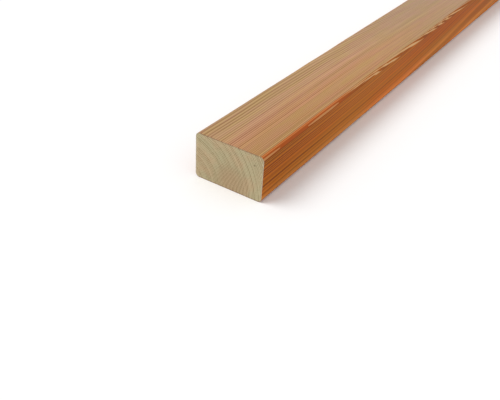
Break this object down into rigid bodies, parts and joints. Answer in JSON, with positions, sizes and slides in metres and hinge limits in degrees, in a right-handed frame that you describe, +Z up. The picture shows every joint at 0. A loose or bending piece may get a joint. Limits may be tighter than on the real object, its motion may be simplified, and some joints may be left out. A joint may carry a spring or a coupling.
{
  "type": "decking joist",
  "caption": "Straight timber joist with eased long edges and square-sawn ends, laid flat to carry the boards of a deck.",
  "frame": {"origin": "on the underside, midway along the length and midway across the width", "axes": "+X across the wide face, +Y along the grain, +Z up out of the wide face that the boards rest on"},
  "size_m": [0.07, 2.4, 0.045],
  "materials": {
    "timber": "planed, unfinished, reddish softwood with fine straight growth rings; pale dry sawn ends"
  },
  "bodies": {
    "root": {"joist": "timber"}
  },
  "joints": []
}
